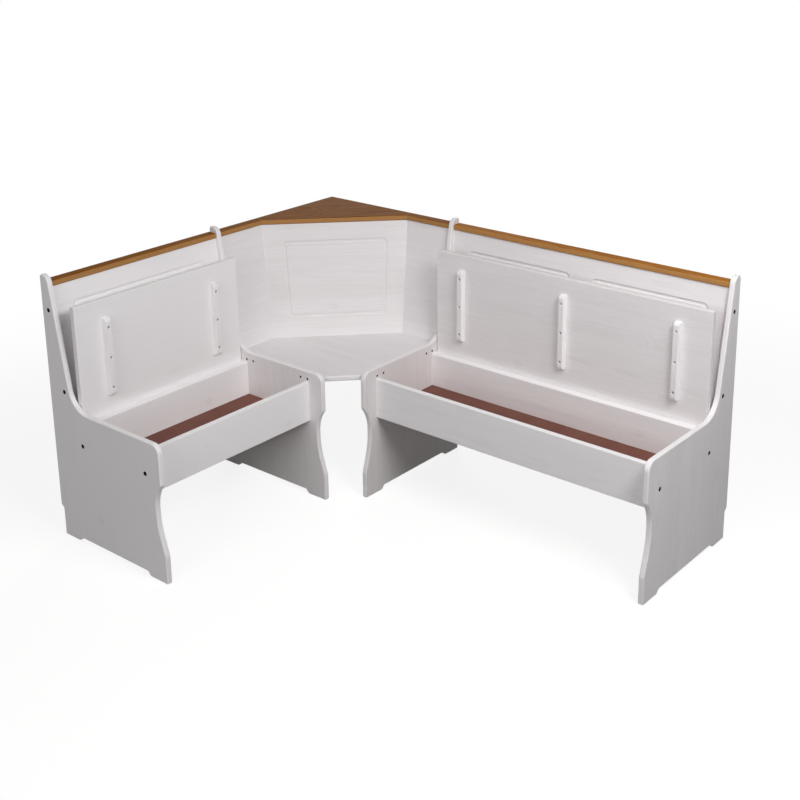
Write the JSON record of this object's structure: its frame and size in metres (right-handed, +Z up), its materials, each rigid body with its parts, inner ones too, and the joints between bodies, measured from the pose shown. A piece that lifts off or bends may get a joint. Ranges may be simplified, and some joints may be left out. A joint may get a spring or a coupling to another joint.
{
  "type": "corner storage bench",
  "caption": "White-glazed pine corner bench with a long and a short chest seat, hinged lids, panelled backrests, a corner seat and honey-coloured cap rails.",
  "frame": {"origin": "on the floor under the middle of the whole outline, at the bottom centre of the bounding box", "axes": "+X along the long bench away from the room corner, +Y towards the wall behind the long bench, +Z up; the short bench runs along -Y with its back to -X"},
  "size_m": [1.648, 1.268, 0.858],
  "materials": {
    "white_glaze": "satin",
    "honey_pine": "satin",
    "brown_hardboard": "matte",
    "raw_pine": "matte",
    "black_steel": "satin",
    "zinc_steel": "satin"
  },
  "bodies": {
    "base": {"long_outer_side": "white_glaze", "long_inner_side": "white_glaze", "long_front_board": "white_glaze", "long_rear_board": "white_glaze", "long_back": "white_glaze", "long_box_floor": "brown_hardboard", "long_floor_slats": "raw_pine", "long_cap_rail": "honey_pine", "long_barrel_nuts": "zinc_steel", "long_outer_bolts": "black_steel", "long_inner_bolts": "black_steel", "long_end_dowels": "raw_pine", "long_cap_dowels": "raw_pine", "short_outer_side": "white_glaze", "short_inner_side": "white_glaze", "short_front_board": "white_glaze", "short_rear_board": "white_glaze", "short_back": "white_glaze", "short_box_floor": "brown_hardboard", "short_floor_slats": "raw_pine", "short_cap_rail": "honey_pine", "short_barrel_nuts": "zinc_steel", "short_outer_bolts": "black_steel", "short_inner_bolts": "black_steel", "short_end_dowels": "raw_pine", "short_cap_dowels": "raw_pine", "corner_seat": "white_glaze", "corner_seat_screws": "black_steel", "corner_seat_cleats": "raw_pine", "corner_cleat_screws": "zinc_steel", "corner_back_long_side": "white_glaze", "corner_back_short_side": "white_glaze", "corner_back_diagonal": "white_glaze", "corner_back_screws": "zinc_steel", "corner_brace": "raw_pine", "corner_shelf": "honey_pine", "corner_cap_long_side": "honey_pine", "corner_cap_short_side": "honey_pine", "corner_cap_dowels": "raw_pine"},
    "long_lid": {"long_lid": "white_glaze", "long_lid_battens": "white_glaze", "long_batten_screws": "zinc_steel", "long_lid_pins": "zinc_steel", "long_lid_washers": "zinc_steel"},
    "short_lid": {"short_lid": "white_glaze", "short_lid_battens": "white_glaze", "short_batten_screws": "zinc_steel", "short_lid_pins": "zinc_steel", "short_lid_washers": "zinc_steel"}
  },
  "joints": [
    {"name": "long_lid_hinge", "type": "hinge", "parent": "base", "child": "long_lid", "pos_m": [0.291, 0.51369, 0.4153], "axis": [1, 0, 0], "range_deg": [0, 90.5]},
    {"name": "short_lid_hinge", "type": "hinge", "parent": "base", "child": "short_lid", "pos_m": [-0.70369, -0.291, 0.4153], "axis": [0, 1, 0], "range_deg": [0, 90.5]}
  ]
}
